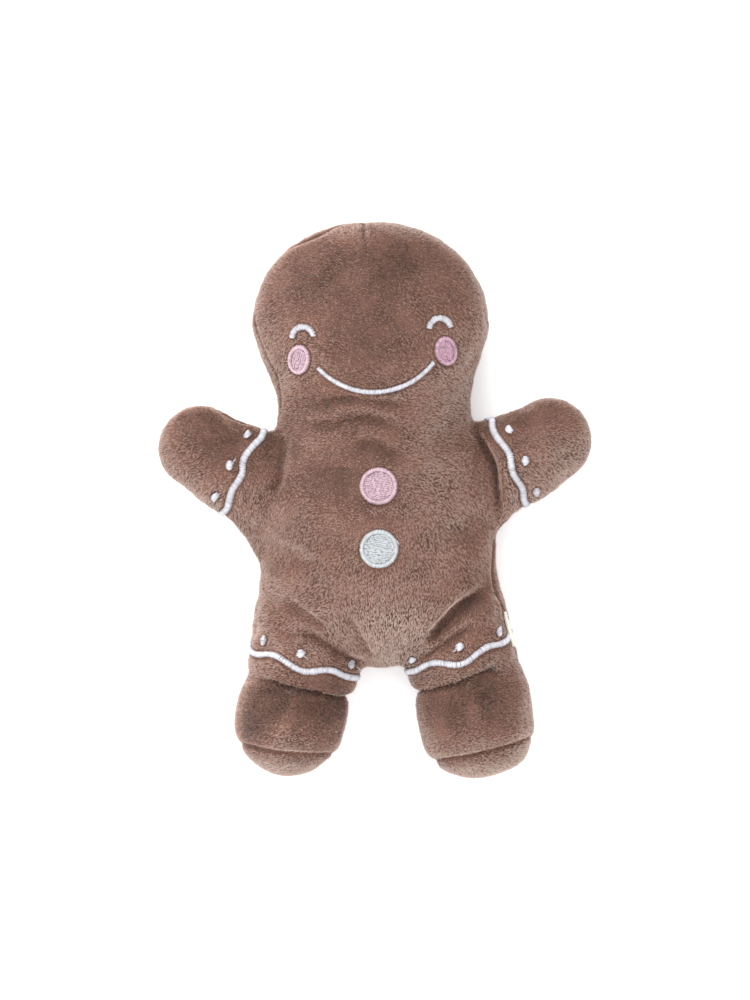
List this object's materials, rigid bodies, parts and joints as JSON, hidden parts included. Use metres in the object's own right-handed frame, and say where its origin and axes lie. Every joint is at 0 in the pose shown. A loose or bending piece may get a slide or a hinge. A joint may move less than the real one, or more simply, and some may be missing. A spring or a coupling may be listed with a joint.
{
  "type": "plush gingerbread man soft toy",
  "caption": "Stuffed soft toy in the shape of a gingerbread man, with an embroidered smiling face, round buttons and wavy icing lines, lying on its back.",
  "frame": {"origin": "middle of the figure's box in X and Y, on the surface that it lies on", "axes": "+X to the right as the face is seen, +Y towards the crown of the head, +Z out of the face"},
  "size_m": [0.1732, 0.2228, 0.0545],
  "materials": {
    "plush": "short-pile brown plush",
    "white_thread": "satin stitch",
    "pink_thread": "filled embroidery with a satin border",
    "pale_thread": "filled embroidery with a satin border",
    "label_tape": "blank folded satin tape"
  },
  "bodies": {
    "root": {"body": "plush", "button_lower": "pale_thread", "button_upper": "pink_thread", "cheek_left": "pink_thread", "cheek_right": "pink_thread", "eye_left": "white_thread", "eye_right": "white_thread", "foot_left": "plush", "foot_right": "plush", "hem_dot_left_back_1": "white_thread", "hem_dot_left_back_2": "white_thread", "hem_dot_left_back_3": "white_thread", "hem_dot_left_front_1": "white_thread", "hem_dot_left_front_2": "white_thread", "hem_dot_left_front_3": "white_thread", "hem_dot_right_back_1": "white_thread", "hem_dot_right_back_2": "white_thread", "hem_dot_right_back_3": "white_thread", "hem_dot_right_front_1": "white_thread", "hem_dot_right_front_2": "white_thread", "hem_dot_right_front_3": "white_thread", "hem_line_left": "white_thread", "hem_line_right": "white_thread", "side_label": "label_tape", "smile": "white_thread", "wrist_dot_left_back_1": "white_thread", "wrist_dot_left_back_2": "white_thread", "wrist_dot_left_back_3": "white_thread", "wrist_dot_left_front_1": "white_thread", "wrist_dot_left_front_2": "white_thread", "wrist_dot_left_front_3": "white_thread", "wrist_dot_right_back_1": "white_thread", "wrist_dot_right_back_2": "white_thread", "wrist_dot_right_back_3": "white_thread", "wrist_dot_right_front_1": "white_thread", "wrist_dot_right_front_2": "white_thread", "wrist_dot_right_front_3": "white_thread", "wrist_line_left": "white_thread", "wrist_line_right": "white_thread"}
  },
  "joints": []
}
